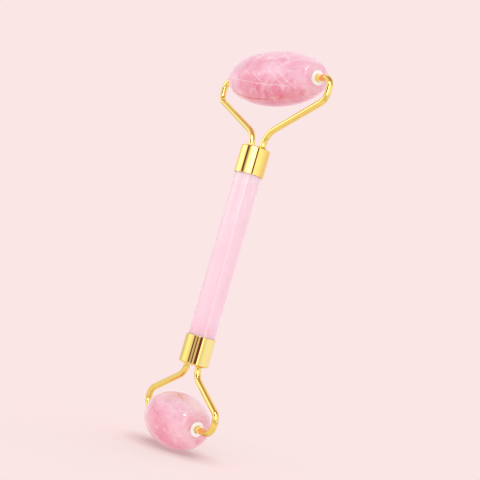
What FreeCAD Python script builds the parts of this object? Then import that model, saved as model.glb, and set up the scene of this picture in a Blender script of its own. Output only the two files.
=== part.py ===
import FreeCAD, Part

import math
import os

# Two-ended face roller: a polished stone rod with a plated cap glued on each end, and on each cap a fork of two
# bent wires that holds a turning stone. One end carries the large oval stone, the other end the small one.
#
# Frame, in millimetres: the origin is the middle of the grip, on the rod's axis. +Z runs along the rod towards the
# large stone, and +X along the axis that both stones turn on. The forks lie flat in the XZ plane.
#
# Both heads are drawn the same way up, reaching out along +Z. The small head is then turned half a turn about X.

Vector = FreeCAD.Vector
ORIGIN = Vector(0, 0, 0)
X_AXIS = Vector(1, 0, 0)
Z_AXIS = Vector(0, 0, 1)

# Grip rod
ROD_RADIUS = 4.75
GRIP_LENGTH = 59.2  # bare rod between the two caps
ROD_INSERTION = 7.3  # rod inside each cap
ROD_END_CHAMFER = 0.4

# Plated cap, a drawn cup with its closed end outwards
CAP_LENGTH = 10.1
CAP_RADIUS = 5.38
CAP_WALL = 0.53
CAP_END_WALL = 1.0
CAP_CORNER_ROUND = 0.6
CAP_RIM_ROUND = 0.12

# Fork wire
WIRE_RADIUS = 1.15
WIRE_TAIL = 1.4  # wire inside the cap, past its end wall
PIN_END_CHAMFER = 0.3
BRAZE_GAP = 0.05  # radial gap between wire and cap hole, which the braze fills
BRAZE_LEG = 0.55  # size of the braze fillet on the cap's end face
BRAZE_FILLET_RADIUS = 0.7

# Glue between rod and cap
GLUE_SETBACK = 0.3  # from the cap's rim to the start of the glue

# Moulded bush, one in each end of each stone
BUSH_BODY_RADIUS = 2.2
BUSH_BODY_LENGTH = 7.0
BUSH_BORE_RADIUS = 1.2  # 0.05 mm of running clearance round the pin
BUSH_FLANGE_RADIUS = 2.65
BUSH_FLANGE_THICKNESS = 0.45
BUSH_FLANGE_ROUND = 0.3
BUSH_MOUTH_CHAMFER = 0.15
PIN_DEPTH = 6.0  # pin inside the bush, from the flange's face
STONE_HOLE_DEPTH = 8.0
STONE_EDGE_ROUND = 2.0  # polished edge round each flat end

HEADS = {
    "large": {
        "outwards": +1,
        "reach": 26.0,  # from the cap's end face to the stone's axis
        "neck_offset": 3.4,  # wire from the rod's axis, where it leaves the cap
        "rise_at_axis": 3.4,  # height over the cap at which the arm's slope would meet the rod's axis
        "slope_deg": 26.8,
        "half_width": 29.3,  # rod's axis to the middle of the wire's outermost run
        "neck_bend": 6.5,
        "shoulder_bend": 4.0,
        "hook_bend": 3.5,
        "stone_half_length": 25.4,  # of the whole ellipsoid, before its ends are ground flat
        "stone_radius": 9.9,
        "stone_flat": 22.0,  # from the middle of the stone to each ground end
    },
    "small": {
        "outwards": -1,
        "reach": 20.0,
        "neck_offset": 3.5,
        "rise_at_axis": 1.55,
        "slope_deg": 30.3,
        "half_width": 20.2,
        "neck_bend": 5.0,
        "shoulder_bend": 3.4,
        "hook_bend": 3.6,
        "stone_half_length": 14.9,
        "stone_radius": 9.7,
        "stone_flat": 11.95,
    },
}
SIDES = {"right": +1, "left": -1}

RIM_Z = GRIP_LENGTH / 2  # open rim of the cap
FACE_Z = RIM_Z + CAP_LENGTH  # closed end face of the cap
CAP_INNER_RADIUS = CAP_RADIUS - CAP_WALL
CAVITY_END_Z = FACE_Z - CAP_END_WALL
ROD_END_Z = RIM_Z + ROD_INSERTION
CAP_HOLE_RADIUS = WIRE_RADIUS + BRAZE_GAP


def bush_face(head):
    """Distance from the stone's middle to the bush's outer face."""
    return head["stone_flat"] + BUSH_FLANGE_THICKNESS


def edges_on_circle(shape, along, place, radius):
    """The shape's circular edges of one radius that lie in one plane across the axis `along`."""
    found = []
    for edge in shape.Edges:
        circle = edge.Curve
        if not isinstance(circle, Part.Circle) or abs(circle.Radius - radius) > 1e-4:
            continue
        if abs(circle.Center.dot(along) - place) < 1e-4:
            found.append(edge)
    return found


def revolved(outline, axis):
    """A closed outline, given as a list of corner points, turned once round an axis through the origin."""
    wire = Part.makePolygon(outline + outline[:1])
    return Part.Face(wire).revolve(ORIGIN, axis, 360)


def rod():
    """Grip rod: one plain polished cylinder, chamfered where it goes into the caps."""
    length = 2 * ROD_END_Z
    shape = Part.makeCylinder(ROD_RADIUS, length, Vector(0, 0, -ROD_END_Z), Z_AXIS)
    ends = edges_on_circle(shape, Z_AXIS, ROD_END_Z, ROD_RADIUS)
    ends += edges_on_circle(shape, Z_AXIS, -ROD_END_Z, ROD_RADIUS)
    return shape.makeChamfer(ROD_END_CHAMFER, ends)


def cap(head):
    """Plated cap: a cup over the rod's end, with one hole in its closed end for each wire."""
    shape = Part.makeCylinder(CAP_RADIUS, CAP_LENGTH, Vector(0, 0, RIM_Z), Z_AXIS)
    corner = edges_on_circle(shape, Z_AXIS, FACE_Z, CAP_RADIUS)
    shape = shape.makeFillet(CAP_CORNER_ROUND, corner)
    depth = CAVITY_END_Z - RIM_Z
    shape = shape.cut(Part.makeCylinder(CAP_INNER_RADIUS, depth, Vector(0, 0, RIM_Z), Z_AXIS))
    rim = edges_on_circle(shape, Z_AXIS, RIM_Z, CAP_RADIUS)
    shape = shape.makeFillet(CAP_RIM_ROUND, rim)
    for side in SIDES.values():
        foot = Vector(side * head["neck_offset"], 0, CAVITY_END_Z)
        shape = shape.cut(Part.makeCylinder(CAP_HOLE_RADIUS, CAP_END_WALL, foot, Z_AXIS))
    return shape


def glue(head):
    """Cured glue: a film round the rod inside the cap, and a plug at the rod's end that the wire tails sit in."""
    start = RIM_Z + GLUE_SETBACK
    shape = Part.makeCylinder(CAP_INNER_RADIUS, CAVITY_END_Z - start, Vector(0, 0, start), Z_AXIS)
    shape = shape.cut(rod())
    for side in SIDES.values():
        foot = Vector(side * head["neck_offset"], 0, CAVITY_END_Z - WIRE_TAIL)
        shape = shape.cut(Part.makeCylinder(WIRE_RADIUS, WIRE_TAIL, foot, Z_AXIS))
    return shape


def bent_path(corners, radii):
    """Straight runs through the corners, joined by tangent arcs, one radius for each inner corner."""
    edges = []
    start = corners[0]
    for before, corner, after, radius in zip(corners, corners[1:], corners[2:], radii):
        back = (before - corner).normalize()
        ahead = (after - corner).normalize()
        half_angle = back.getAngle(ahead) / 2
        setback = radius / math.tan(half_angle)
        enter = corner + back * setback
        leave = corner + ahead * setback
        to_centre = (back + ahead).normalize()
        middle = corner + to_centre * (radius / math.sin(half_angle) - radius)
        edges.append(Part.LineSegment(start, enter).toShape())
        edges.append(Part.Arc(enter, middle, leave).toShape())
        start = leave
    edges.append(Part.LineSegment(start, corners[-1]).toShape())
    return Part.Wire(edges)


def arm(head):
    """Right-hand fork wire: tail in the cap, neck, sloping arm, shoulder, hook, and the pin that the stone turns on."""
    slope = math.tan(math.radians(head["slope_deg"]))
    axis_z = FACE_Z + head["reach"]
    pin_end = bush_face(head) - PIN_DEPTH
    neck_z = FACE_Z + head["rise_at_axis"] + slope * head["neck_offset"]
    shoulder_z = FACE_Z + head["rise_at_axis"] + slope * head["half_width"]
    corners = [
        Vector(head["neck_offset"], 0, CAVITY_END_Z - WIRE_TAIL),
        Vector(head["neck_offset"], 0, neck_z),
        Vector(head["half_width"], 0, shoulder_z),
        Vector(head["half_width"], 0, axis_z),
        Vector(pin_end, 0, axis_z),
    ]
    path = bent_path(corners, [head["neck_bend"], head["shoulder_bend"], head["hook_bend"]])
    section = Part.Wire(Part.makeCircle(WIRE_RADIUS, corners[0], Z_AXIS))
    shape = path.makePipeShell([section], True, False)
    shape = shape.makeChamfer(PIN_END_CHAMFER, edges_on_circle(shape, X_AXIS, pin_end, WIRE_RADIUS))
    swept = path.Length * math.pi * WIRE_RADIUS**2
    print(f"arm: length {path.Length:.2f}, volume {shape.Volume:.2f}, section times length {swept:.2f}")
    return shape


def braze(head):
    """Braze round the right-hand wire: a sleeve in the cap's hole with a hollow fillet outside."""
    root = Vector(WIRE_RADIUS + BRAZE_LEG, 0, FACE_Z)
    crest = Vector(WIRE_RADIUS, 0, FACE_Z + BRAZE_LEG)
    chord = crest - root
    hollow = Vector(chord.z, 0, -chord.x).normalize()  # across the chord, away from the wire
    half_chord = chord.Length / 2
    sag = BRAZE_FILLET_RADIUS - math.sqrt(BRAZE_FILLET_RADIUS**2 - half_chord**2)
    middle = (root + crest) * 0.5 - hollow * sag
    inner_foot = Vector(WIRE_RADIUS, 0, CAVITY_END_Z)
    outer_foot = Vector(CAP_HOLE_RADIUS, 0, CAVITY_END_Z)
    hole_mouth = Vector(CAP_HOLE_RADIUS, 0, FACE_Z)
    edges = [
        Part.Arc(root, middle, crest).toShape(),
        Part.LineSegment(crest, inner_foot).toShape(),
        Part.LineSegment(inner_foot, outer_foot).toShape(),
        Part.LineSegment(outer_foot, hole_mouth).toShape(),
        Part.LineSegment(hole_mouth, root).toShape(),
    ]
    shape = Part.Face(Part.Wire(edges)).revolve(ORIGIN, Z_AXIS, 360)
    shape.translate(Vector(head["neck_offset"], 0, 0))
    return shape


def stone(head):
    """Turning stone: an ellipsoid with its ends ground flat, their edges polished round, and a blind hole in each."""
    half_length = head["stone_half_length"]
    radius = head["stone_radius"]
    flat = head["stone_flat"]
    end_angle = math.acos(flat / half_length)
    flat_radius = radius * math.sin(end_angle)
    curve = Part.ArcOfEllipse(Part.Ellipse(ORIGIN, half_length, radius), end_angle, math.pi - end_angle)
    outline = [
        curve.toShape(),
        Part.LineSegment(Vector(-flat, flat_radius, 0), Vector(-flat, 0, 0)).toShape(),
        Part.LineSegment(Vector(-flat, 0, 0), Vector(flat, 0, 0)).toShape(),
        Part.LineSegment(Vector(flat, 0, 0), Vector(flat, flat_radius, 0)).toShape(),
    ]
    shape = Part.Face(Part.Wire(Part.__sortEdges__(outline))).revolve(ORIGIN, X_AXIS, 360)
    rims = edges_on_circle(shape, X_AXIS, flat, flat_radius)
    rims += edges_on_circle(shape, X_AXIS, -flat, flat_radius)
    shape = shape.makeFillet(STONE_EDGE_ROUND, rims)
    for side in SIDES.values():
        mouth = Vector(side * flat, 0, 0)
        hole = Part.makeCylinder(BUSH_BODY_RADIUS, STONE_HOLE_DEPTH, mouth, X_AXIS * -side)
        shape = shape.cut(hole)
    shape.translate(Vector(0, 0, FACE_Z + head["reach"]))
    return shape


def bush(head):
    """Right-hand bush: a sleeve pressed into the stone's hole, with a round-edged flange on the stone's flat end."""
    face = bush_face(head)
    seat = head["stone_flat"]
    foot = seat - BUSH_BODY_LENGTH
    outline = [
        Vector(foot, BUSH_BORE_RADIUS, 0),
        Vector(face - BUSH_MOUTH_CHAMFER, BUSH_BORE_RADIUS, 0),
        Vector(face, BUSH_BORE_RADIUS + BUSH_MOUTH_CHAMFER, 0),
        Vector(face, BUSH_FLANGE_RADIUS, 0),
        Vector(seat, BUSH_FLANGE_RADIUS, 0),
        Vector(seat, BUSH_BODY_RADIUS, 0),
        Vector(foot, BUSH_BODY_RADIUS, 0),
    ]
    shape = revolved(outline, X_AXIS)
    shape = shape.makeFillet(BUSH_FLANGE_ROUND, edges_on_circle(shape, X_AXIS, face, BUSH_FLANGE_RADIUS))
    shape.translate(Vector(0, 0, FACE_Z + head["reach"]))
    return shape


def placed(shape, outwards, side=+1):
    """Turns a piece drawn on the large head's right side onto the left side, the small head, or both."""
    shape = shape.copy()
    if side < 0:
        shape.rotate(ORIGIN, Z_AXIS, 180)
    if outwards < 0:
        shape.rotate(ORIGIN, X_AXIS, 180)
    return shape


def export(shape, node):
    solids = shape.Solids
    if len(solids) != 1 or not shape.isValid():
        raise ValueError(f"{node}: {len(solids)} solids, valid {shape.isValid()}")
    solids[0].exportStep(f"parts/{node}.step")


os.makedirs("parts", exist_ok=True)
export(rod(), "grip_rod")
for name, head in HEADS.items():
    outwards = head["outwards"]
    export(placed(cap(head), outwards), f"{name}_end_cap")
    export(placed(glue(head), outwards), f"{name}_end_glue")
    export(placed(stone(head), outwards), f"{name}_stone")
    one_arm, one_braze, one_bush = arm(head), braze(head), bush(head)
    for side_name, side in SIDES.items():
        export(placed(one_arm, outwards, side), f"{name}_fork_{side_name}_arm")
        export(placed(one_braze, outwards, side), f"{name}_fork_{side_name}_braze")
        export(placed(one_bush, outwards, side), f"{name}_stone_{side_name}_bush")
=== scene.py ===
import math

import bmesh
import bpy
from mathutils import Matrix, Quaternion, Vector


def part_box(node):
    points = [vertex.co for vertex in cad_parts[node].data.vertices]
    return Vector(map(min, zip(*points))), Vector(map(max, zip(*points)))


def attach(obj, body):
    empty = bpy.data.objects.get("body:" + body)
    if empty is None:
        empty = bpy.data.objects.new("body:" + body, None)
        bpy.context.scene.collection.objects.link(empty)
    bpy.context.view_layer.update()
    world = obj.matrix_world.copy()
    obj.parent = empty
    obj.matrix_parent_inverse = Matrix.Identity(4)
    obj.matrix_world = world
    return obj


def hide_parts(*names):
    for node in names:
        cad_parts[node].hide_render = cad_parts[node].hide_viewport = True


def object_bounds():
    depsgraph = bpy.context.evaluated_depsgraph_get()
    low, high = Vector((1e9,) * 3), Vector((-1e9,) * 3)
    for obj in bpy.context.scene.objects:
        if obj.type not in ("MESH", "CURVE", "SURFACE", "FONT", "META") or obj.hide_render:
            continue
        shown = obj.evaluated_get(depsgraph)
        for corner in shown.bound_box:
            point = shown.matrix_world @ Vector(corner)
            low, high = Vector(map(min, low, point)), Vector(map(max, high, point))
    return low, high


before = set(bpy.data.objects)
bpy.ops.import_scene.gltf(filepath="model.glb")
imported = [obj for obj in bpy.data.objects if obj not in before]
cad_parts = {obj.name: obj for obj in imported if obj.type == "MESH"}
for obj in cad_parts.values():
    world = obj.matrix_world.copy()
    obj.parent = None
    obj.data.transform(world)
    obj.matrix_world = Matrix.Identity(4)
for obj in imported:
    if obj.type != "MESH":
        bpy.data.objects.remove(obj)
cad_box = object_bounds()

# --------------------------------------------------------------------------------------------------
# Grip rod
# A plain round rod of pale rose quartz, ground between wheels and polished. It has no core, so
# light passes right through it. Each chamfered end is pushed into a cap and doesn't show.
# --------------------------------------------------------------------------------------------------

MM = 0.001
ROD_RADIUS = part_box("grip_rod")[1].x
ROD_HALF_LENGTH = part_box("grip_rod")[1].z
ROD_CHAMFER = 0.4 * MM
ROD_SEGMENTS = 96
ROD_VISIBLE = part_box("large_end_cap")[0].z  # half the length between the caps
MERGE_DISTANCE = 0.0005 * MM
SHARP_EDGE = math.radians(35)  # an edge that turns by more than this stays crisp


def linear(hex_colour):
    """An sRGB hex colour as the linear RGBA that a shader takes."""
    channels = []
    for start in (0, 2, 4):
        value = int(hex_colour[start : start + 2], 16) / 255
        channels.append(value / 12.92 if value <= 0.04045 else ((value + 0.055) / 1.055) ** 2.4)
    return (*channels, 1.0)


def node(tree, kind, inputs, output=None, **settings):
    """Adds a shader node with its settings and links. Each input is a value or another node's
    output. Returns one output, the first in use unless one is named."""
    added = tree.nodes.new("ShaderNode" + kind)
    for name, value in settings.items():
        setattr(added, name, value)
    for name, value in inputs.items():
        if isinstance(name, str):
            socket = next(one for one in added.inputs if one.name == name and one.enabled)
        else:
            socket = added.inputs[name]
        if isinstance(value, bpy.types.NodeSocket):
            tree.links.new(value, socket)
        else:
            socket.default_value = value
    return added.outputs[output] if output else next(one for one in added.outputs if one.enabled)


def new_material(name, **surface):
    """A material with one Principled shader. Returns the material, its node tree and its shader."""
    material = bpy.data.materials.new(name)
    material.use_nodes = True
    shader = material.node_tree.nodes["Principled BSDF"]
    for socket, value in surface.items():
        shader.inputs[socket.replace("_", " ")].default_value = value
    return material, material.node_tree, shader


def turned(outline, segments):
    """A solid of revolution round Z, from (radius, height) points. They start and end on the axis,
    or at one same point where the solid is a ring."""
    lathe = bmesh.new()
    points = [lathe.verts.new((radius, 0, height)) for radius, height in outline]
    edges = [lathe.edges.new(pair) for pair in zip(points, points[1:])]
    turn = {"cent": (0, 0, 0), "axis": (0, 0, 1), "angle": math.tau, "steps": segments, "use_merge": True}
    bmesh.ops.spin(lathe, geom=points + edges, **turn)
    bmesh.ops.remove_doubles(lathe, verts=lathe.verts, dist=MERGE_DISTANCE)
    return lathe


def add_piece(name, shape, material, body, cad_node, placing=None):
    """Makes a piece from a bmesh, puts it in place, hangs it on its CAD body and hides the CAD node it stands
    for.
    """
    if placing is not None:
        bmesh.ops.transform(shape, matrix=placing, verts=shape.verts)
    bmesh.ops.recalc_face_normals(shape, faces=shape.faces)
    for face in shape.faces:
        face.smooth = True
    mesh = bpy.data.meshes.new(name)
    shape.to_mesh(mesh)
    shape.free()
    mesh.set_sharp_from_angle(angle=SHARP_EDGE)
    mesh.materials.append(material)
    piece = bpy.data.objects.new(name, mesh)
    bpy.context.scene.collection.objects.link(piece)
    shading = piece.modifiers.new("large faces stay flat", "WEIGHTED_NORMAL")
    shading.keep_sharp = True
    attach(piece, body)
    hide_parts(cad_node)


def polished_rod_quartz():
    """Pale, cloudy rose quartz, polished on wheels. Milky streaks run along the rod, and light
    bleeds through it, so no side is dark."""
    material, tree, shader = new_material(
        "Polished pale rose quartz",
        Roughness=0.12,
        IOR=1.544,
        Subsurface_Weight=0.9,
        Subsurface_Radius=(1.0, 0.7, 0.75),
        Subsurface_Scale=4 * MM,
    )
    place = node(tree, "TexCoord", {}, "Object")
    height = node(tree, "SeparateXYZ", {"Vector": place}, "Z")
    rise = node(tree, "MapRange", {"Value": height, "From Min": -ROD_VISIBLE, "From Max": ROD_VISIBLE})
    pinks = {"Factor": rise, "A": linear("F3D8E2"), "B": linear("F3DBE4")}
    colour = node(tree, "Mix", pinks, data_type="RGBA")

    # Streaks drawn out along the rod, some milky and some pinker.
    streak_width = 2.2 * MM
    streak_length = 45 * MM
    drawn_out = {"Vector": place, "Scale": (1 / streak_width, 1 / streak_width, 1 / streak_length)}
    stretched = node(tree, "Mapping", drawn_out)
    streaks = node(tree, "TexNoise", {"Vector": stretched, "Scale": 1.0, "Detail": 3.0})
    for low, high, strength, shade in ((0.52, 0.72, 0.5, "FBE6EE"), (0.48, 0.3, 0.45, "F7C8D6")):
        strand = {"Value": streaks, "From Min": low, "From Max": high, "To Max": strength}
        amount = node(tree, "MapRange", strand, interpolation_type="SMOOTHSTEP")
        colour = node(tree, "Mix", {"Factor": amount, "A": colour, "B": linear(shade)}, data_type="RGBA")

    # Pinker clouds.
    cloud_size = 10 * MM
    clouded = {"Vector": place, "Scale": 1 / cloud_size, "Detail": 4.0, "Roughness": 0.6}
    cloud = node(tree, "TexNoise", clouded)
    blush = node(tree, "MapRange", {"Value": cloud, "From Min": 0.5, "From Max": 0.75, "To Max": 0.35})
    colour = node(tree, "Mix", {"Factor": blush, "A": colour, "B": linear("F7C6D5")}, data_type="RGBA")

    # Painted light and shade towards the caps: a pinker shade above the lower one, and a whiter glow below
    # the upper one.
    for start, end, strength, shade in (
        (-22 * MM, -ROD_VISIBLE, 0.55, "F7C0D0"),
        (24 * MM, ROD_VISIBLE, 0.35, "FBE8F0"),
    ):
        cap_shade_and_glow = {"Value": height, "From Min": start, "From Max": end, "To Max": strength}
        amount = node(tree, "MapRange", cap_shade_and_glow, interpolation_type="SMOOTHSTEP")
        colour = node(tree, "Mix", {"Factor": amount, "A": colour, "B": linear(shade)}, data_type="RGBA")

    # A healed crack runs the length of the rod, 1 degree off its axis: a painted highlight beside a painted
    # shade line.
    # Its plane faces the camera's right, so both lines run straight down the rod where the softbox gleam
    # falls.
    across_crack_and_gleam = Vector((0.62, 0.785, 0.0155))  # square to the crack
    wobble = node(tree, "VectorMath", {0: streaks, "Scale": 0.5 * MM}, operation="SCALE")
    along = node(tree, "VectorMath", {0: place, 1: wobble}, operation="ADD")
    side = node(tree, "VectorMath", {0: along, 1: across_crack_and_gleam}, "Value", operation="DOT_PRODUCT")
    for offset, width, strength, shade in ((0.95, 0.5, 0.3, "FFEDF3"), (0.3, 0.5, 0.25, "F3C2D0")):
        gap = node(tree, "Math", {0: side, 1: offset * MM}, operation="SUBTRACT")
        gap = node(tree, "Math", {0: gap}, operation="ABSOLUTE")
        line = {"Value": gap, "From Min": width * MM, "From Max": 0.1 * MM, "To Max": strength}
        amount = node(tree, "MapRange", line, interpolation_type="SMOOTHSTEP")
        colour = node(tree, "Mix", {"Factor": amount, "A": colour, "B": linear(shade)}, data_type="RGBA")
    tree.links.new(colour, shader.inputs["Base Color"])
    return material


outline = [
    (0, -ROD_HALF_LENGTH),
    (ROD_RADIUS - ROD_CHAMFER, -ROD_HALF_LENGTH),
    (ROD_RADIUS, ROD_CHAMFER - ROD_HALF_LENGTH),
    (ROD_RADIUS, ROD_HALF_LENGTH - ROD_CHAMFER),
    (ROD_RADIUS - ROD_CHAMFER, ROD_HALF_LENGTH),
    (0, ROD_HALF_LENGTH),
]
add_piece("rod", turned(outline, ROD_SEGMENTS), polished_rod_quartz(), "handle", "grip_rod")

# --------------------------------------------------------------------------------------------------
# Glue
# Clear two-part epoxy that fills the cap round the rod's end and the wire tails. It cures to a
# faint straw colour. The CAD solids already have its whole shape, so they stay.
# --------------------------------------------------------------------------------------------------

HEADS = {"large": +1, "small": -1}  # which way each head reaches along the rod


def cured_epoxy():
    """Cured clear epoxy. Small trapped bubbles make it slightly cloudy, and it is glossy where it
    set in the open."""
    material, tree, shader = new_material("Cured clear epoxy", Roughness=0.18, IOR=1.55)
    place = node(tree, "TexCoord", {}, "Object")
    bubble_spacing = 0.5 * MM
    bubbles = node(tree, "TexVoronoi", {"Vector": place, "Scale": 1 / bubble_spacing})
    inside = node(tree, "MapRange", {"Value": bubbles, "From Min": 0.15, "From Max": 0.3})
    shades = {"Factor": inside, "A": linear("F8F1E4"), "B": linear("E6D6B6")}
    tree.links.new(node(tree, "Mix", shades, data_type="RGBA"), shader.inputs["Base Color"])
    return material


epoxy = cured_epoxy()
for head in HEADS:
    glue_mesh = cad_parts[f"{head}_end_glue"].data
    glue_mesh.materials.clear()
    glue_mesh.materials.append(epoxy)

# --------------------------------------------------------------------------------------------------
# End caps
# Deep-drawn brass cups, polished and gold plated. Each slips over one end of the rod with its
# closed end outwards, and two holes in that end take the fork wires.
# --------------------------------------------------------------------------------------------------

SIDES = {"right": +1, "left": -1}
CAP_RADIUS = 5.38 * MM
CAP_WALL = 0.53 * MM
CAP_END_WALL = 1.0 * MM
CAP_CORNER_ROUND = 0.6 * MM
CAP_RIM_ROUND = 0.12 * MM
CAP_SEGMENTS = 128
CAP_CORNER_STEPS = 10
CAP_RIM_STEPS = 4
CAP_RIM_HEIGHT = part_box("large_end_cap")[0].z
CAP_FACE_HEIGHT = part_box("large_end_cap")[1].z
WIRE_HOLE_RADIUS = 1.2 * MM
WIRE_HOLE_SEGMENTS = 48
WIRE_FOOT = {"large": 3.4 * MM, "small": 3.5 * MM}  # from the rod's axis to the wire, where it leaves the cap


def gold_plate(name, roughness, haze_size):
    """Bright gold plate on polished metal. It mirrors the room in a warm yellow, and polishing haze
    blurs the mirror a little, unevenly."""
    material, tree, shader = new_material(name, Metallic=1.0)
    place = node(tree, "TexCoord", {}, "Object")
    haze = node(tree, "TexNoise", {"Vector": place, "Scale": 1 / haze_size, "Detail": 5.0, "Roughness": 0.6})
    clearest = 0.8 * roughness
    haziest = 1.2 * roughness
    shine = {"Value": haze, "From Min": 0.3, "From Max": 0.7, "To Min": clearest, "To Max": haziest}
    tree.links.new(node(tree, "MapRange", shine), shader.inputs["Roughness"])
    patch_size = 6 * MM  # where the plate is thicker its colour is richer
    thickness = node(tree, "TexNoise", {"Vector": place, "Scale": 1 / patch_size, "Detail": 2.0})
    golds = {"Factor": thickness, "A": linear("FBDD7A"), "B": linear("FDE386")}
    tree.links.new(node(tree, "Mix", golds, data_type="RGBA"), shader.inputs["Base Color"])
    ripple_length = 5 * MM
    ripple_height = 0.01 * MM
    ripple = node(tree, "TexNoise", {"Vector": place, "Scale": 1 / ripple_length, "Detail": 1.0})
    bump = node(tree, "Bump", {"Height": ripple, "Strength": 0.2, "Distance": ripple_height})
    tree.links.new(bump, shader.inputs["Normal"])
    return material


def corner(centre, radius, start_deg, end_deg, steps):
    """Points (radius, height) along a round corner. 0 degrees faces outwards and 90 degrees faces up."""
    points = []
    for step in range(steps + 1):
        angle = math.radians(start_deg + (end_deg - start_deg) * step / steps)
        points.append((centre[0] + radius * math.cos(angle), centre[1] + radius * math.sin(angle)))
    return points


def drilled(shape, drill):
    """Cuts the drill out of the shape. Both are bmeshes, and both are used up."""
    blanks = []
    for blank in (shape, drill):
        mesh = bpy.data.meshes.new("blank")
        blank.to_mesh(mesh)
        blank.free()
        blanks.append(bpy.data.objects.new("blank", mesh))
        bpy.context.scene.collection.objects.link(blanks[-1])
    cut = blanks[0].modifiers.new("holes", "BOOLEAN")
    cut.object = blanks[1]
    cut.solver = "EXACT"
    bpy.context.view_layer.update()
    result = bmesh.new()
    result.from_object(blanks[0], bpy.context.evaluated_depsgraph_get())
    for blank in blanks:
        bpy.data.objects.remove(blank)
    return result


gold_cap = gold_plate("Gold plate on drawn brass", roughness=0.05, haze_size=0.8 * MM)

inner_radius = CAP_RADIUS - CAP_WALL
cavity_end = CAP_FACE_HEIGHT - CAP_END_WALL
outer_corner = (CAP_RADIUS - CAP_CORNER_ROUND, CAP_FACE_HEIGHT - CAP_CORNER_ROUND)
rim_centre = CAP_RIM_HEIGHT + CAP_RIM_ROUND
cap_outline = [(0, cavity_end), (inner_radius, cavity_end)]
cap_outline += corner((inner_radius + CAP_RIM_ROUND, rim_centre), CAP_RIM_ROUND, 180, 270, CAP_RIM_STEPS)
cap_outline += corner((CAP_RADIUS - CAP_RIM_ROUND, rim_centre), CAP_RIM_ROUND, 270, 360, CAP_RIM_STEPS)
cap_outline += corner(outer_corner, CAP_CORNER_ROUND, 0, 90, CAP_CORNER_STEPS)
cap_outline += [(0, CAP_FACE_HEIGHT)]

for head, outwards in HEADS.items():
    cup = turned(cap_outline, CAP_SEGMENTS)
    holes = bmesh.new()
    for side in SIDES.values():
        middle = Matrix.Translation((side * WIRE_FOOT[head], 0, CAP_FACE_HEIGHT - CAP_END_WALL / 2))
        size = {"radius1": WIRE_HOLE_RADIUS, "radius2": WIRE_HOLE_RADIUS, "depth": 3 * CAP_END_WALL}
        bmesh.ops.create_cone(holes, cap_ends=True, segments=WIRE_HOLE_SEGMENTS, matrix=middle, **size)
    add_piece(
        f"{head}_cap",
        drilled(cup, holes),
        gold_cap,
        "handle",
        f"{head}_end_cap",
        Matrix.Rotation(0 if outwards > 0 else math.pi, 4, "X"),
    )

# --------------------------------------------------------------------------------------------------
# Fork arms
# Each arm is one length of half-hard wire, bent cold round three formers and gold plated. Its last
# straight run is the pin that the stone turns on.
# --------------------------------------------------------------------------------------------------

WIRE_RADIUS = 1.15 * MM
WIRE_SEGMENTS = 40
WIRE_TAIL = 1.4 * MM  # wire inside the cap
BEND_STEP_DEG = 4
PIN_CHAMFER = 0.3 * MM
PIN_DEPTH = 6.0 * MM  # pin inside the bush
# The arm's sloping run, drawn on inwards, would meet the rod's axis at rise_at_axis above the cap.
ARMS = {
    "large": {
        "rise_at_axis": 3.4 * MM,
        "slope": math.radians(26.8),
        "half_width": 29.3 * MM,
        "bends": (6.5 * MM, 4.0 * MM, 3.5 * MM),
    },
    "small": {
        "rise_at_axis": 1.55 * MM,
        "slope": math.radians(30.3),
        "half_width": 20.2 * MM,
        "bends": (5.0 * MM, 3.4 * MM, 3.6 * MM),
    },
}


def stone_height(head):
    """Height of the stone's axis on a head that reaches upwards."""
    low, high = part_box(f"{head}_stone")
    return abs(low.z + high.z) / 2


def bent_wire(corners, bend_radii):
    """A round wire through the corners in the XZ plane, each inner corner rounded by a bend."""
    wire = bmesh.new()
    tail = Matrix.Translation(corners[0])
    bmesh.ops.create_circle(wire, radius=WIRE_RADIUS, segments=WIRE_SEGMENTS, matrix=tail)
    end = list(wire.edges)
    first_rim = list(end)
    position = corners[0]
    for before, bend, after, radius in zip(corners, corners[1:], corners[2:], bend_radii):
        ahead = (bend - before).normalized()
        away = (after - bend).normalized()
        angle = ahead.angle(away)
        axis = ahead.cross(away).normalized()
        start = bend - ahead * radius * math.tan(angle / 2)
        end = extruded(wire, end, start - position)
        centre = start + axis.cross(ahead) * radius
        steps = round(math.degrees(angle) / BEND_STEP_DEG)
        swept = bmesh.ops.spin(wire, geom=end, cent=centre, axis=axis, angle=angle, steps=steps)
        end = [one for one in swept["geom_last"] if isinstance(one, bmesh.types.BMEdge)]
        position = bend + away * radius * math.tan(angle / 2)
    end = extruded(wire, end, corners[-1] - position)
    for rim in (first_rim, end):
        bmesh.ops.contextual_create(wire, geom=rim)
    bmesh.ops.bevel(
        wire,
        geom=end,
        offset=PIN_CHAMFER,
        segments=2,
        profile=0.5,
        affect="EDGES",
        material=-1,
    )
    return wire


def extruded(wire, rim, run):
    """Draws the wire's open rim along a straight run and returns the new rim."""
    drawn = bmesh.ops.extrude_edge_only(wire, edges=rim)["geom"]
    points = [one for one in drawn if isinstance(one, bmesh.types.BMVert)]
    bmesh.ops.translate(wire, verts=points, vec=run)
    return [one for one in drawn if isinstance(one, bmesh.types.BMEdge)]


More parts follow.
